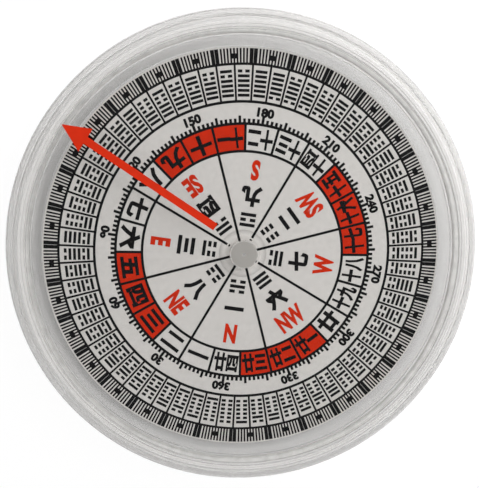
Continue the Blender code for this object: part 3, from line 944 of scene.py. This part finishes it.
# Nodes of the frame that show as they are, with their materials
KEPT = {
    "direction_arrow": red_film,
    "pivot_pedestal": brass,
    "pivot_needle": steel,
    "jewel_cup": ruby,
    "card_disc": white_moulding,
    "magnet_carrier": white_moulding,
    "magnet_left": magnet_steel,
    "magnet_right": magnet_steel,
    "clamp_washer": steel,
    "balance_weight": brass,
}
for node, finish in KEPT.items():
    mesh = nodes[node].data
    mesh.materials.clear()
    mesh.materials.append(finish)


# Studio

# Strengths of the world, where 1 is white: for matt surfaces, in gloss, and at least through glass
SOFT_LIGHT = 0.35
WALL_LIGHT = 1.0
CEILING_LIGHT = 0.02
THROUGH_LIGHT = 0.2

# Upward parts of the directions where the walls end and the ceiling starts
WALL_END = cos(radians(40))
CEILING_START = cos(radians(28))

FLOOR_REACH = 3.0
FLOOR_DROP = 0.00003
FLOOR_COLOUR = (0.93, 0.93, 0.93, 1.0)
FLOOR_GLOW = 0.85

# Name, place and diameter in metres, and power in watts. Each shines at the origin
LAMPS = (
    ("near", (0.064, 0.058, 0.10), 0.12, 0.112),
    ("top", (0.0, 0.0, 0.30), 0.40, 0.73),
)

# Camera: focal length and principal point in pixels of the photograph's frame, turns in radians
FRAME_WIDTH, FRAME_HEIGHT = 479, 488
FOCAL = 592.44
PRINCIPAL = (215.0, 285.0)
SENSOR_WIDTH = 36.0
CLIP_START = 0.001
CAMERA_TURNS = ((0.1347, "X"), (0.04359, "Y"), (-0.01222, "Z"))
CAMERA_PLACE = (-0.008855, 0.007819, 0.106102)


def world_light(scene):
    """White to the camera, dim for matt surfaces, and white walls with a dark ceiling for gloss and glass."""
    world = bpy.data.worlds.new("studio")
    scene.world = world
    world.use_nodes = True
    tree = world.node_tree
    surround = tree.nodes["Background"]
    surround.inputs["Color"].default_value = (1.0, 1.0, 1.0, 1.0)
    light_path = add(tree, "ShaderNodeLightPath")
    place = add(tree, "ShaderNodeTexCoord")
    axes = add(tree, "ShaderNodeSeparateXYZ")
    tree.links.new(place.outputs["Generated"], axes.inputs["Vector"])
    through = light_path.outputs["Is Transmission Ray"]
    mirrored = join(tree, "MAXIMUM", light_path.outputs["Is Glossy Ray"], through)
    walls = span(tree, axes.outputs["Z"], WALL_LIGHT, CEILING_LIGHT, WALL_END, CEILING_START)
    soft = span(tree, mirrored, SOFT_LIGHT, 0.0, 0.0, 1.0)
    overhead = span(tree, through, 0.0, THROUGH_LIGHT, 0.0, 1.0)
    least = join(tree, "MAXIMUM", soft, overhead)
    lit = join(tree, "MAXIMUM", join(tree, "MULTIPLY", mirrored, walls), least)
    total = join(tree, "MAXIMUM", light_path.outputs["Is Camera Ray"], lit)
    tree.links.new(total, surround.inputs["Strength"])


def studio_floor(scene):
    """Plain pale floor, mostly lit by itself to the camera alone, so that it is white and keeps a shadow."""
    mesh = bpy.data.meshes.new("floor")
    corners = [(x * FLOOR_REACH, y * FLOOR_REACH, 0.0) for x, y in ((-1, -1), (1, -1), (1, 1), (-1, 1))]
    mesh.from_pydata(corners, [], [(0, 1, 2, 3)])
    floor = bpy.data.objects.new("floor", mesh)
    floor.location.z = -FLOOR_DROP
    scene.collection.objects.link(floor)
    made, tree, shader = node_material("floor")
    shader.inputs["Base Color"].default_value = FLOOR_COLOUR
    shader.inputs["Roughness"].default_value = 0.9
    shader.inputs["Specular IOR Level"].default_value = 0.1
    glow = add(tree, "ShaderNodeEmission")
    light_path = add(tree, "ShaderNodeLightPath")
    share = span(tree, light_path.outputs["Is Camera Ray"], 0.0, FLOOR_GLOW, 0.0, 1.0)
    blend_surface(tree, share, shader.outputs["BSDF"], glow.outputs["Emission"])
    mesh.materials.append(made)


def lamps(scene):
    """Soft round lamps that gloss and glass don't show."""
    for name, place, diameter, power in LAMPS:
        lamp = bpy.data.lights.new(name, "AREA")
        lamp.shape = "DISK"
        lamp.size = diameter
        lamp.energy = power
        holder = bpy.data.objects.new(name, lamp)
        holder.location = place
        holder.rotation_euler = (-Vector(place)).to_track_quat("-Z", "Y").to_euler()
        holder.visible_glossy = False
        holder.visible_transmission = False
        scene.collection.objects.link(holder)


def camera(scene):
    """Camera that frames the compass as the photograph does."""
    longest = max(FRAME_WIDTH, FRAME_HEIGHT)
    lens = bpy.data.cameras.new("camera")
    lens.sensor_width = SENSOR_WIDTH
    lens.lens = FOCAL * SENSOR_WIDTH / longest
    lens.shift_x = (FRAME_WIDTH / 2 - PRINCIPAL[0]) / longest
    lens.shift_y = (PRINCIPAL[1] - FRAME_HEIGHT / 2) / longest
    lens.clip_start = CLIP_START
    turn = Matrix.Identity(3)
    for angle, axis in CAMERA_TURNS:
        turn = turn @ Matrix.Rotation(angle, 3, axis)
    holder = bpy.data.objects.new("camera", lens)
    holder.matrix_world = Matrix.Translation(CAMERA_PLACE) @ turn.transposed().to_4x4()
    scene.collection.objects.link(holder)
    scene.camera = holder


scene = bpy.context.scene
scene.view_settings.view_transform = "Standard"
world_light(scene)
studio_floor(scene)
lamps(scene)
camera(scene)
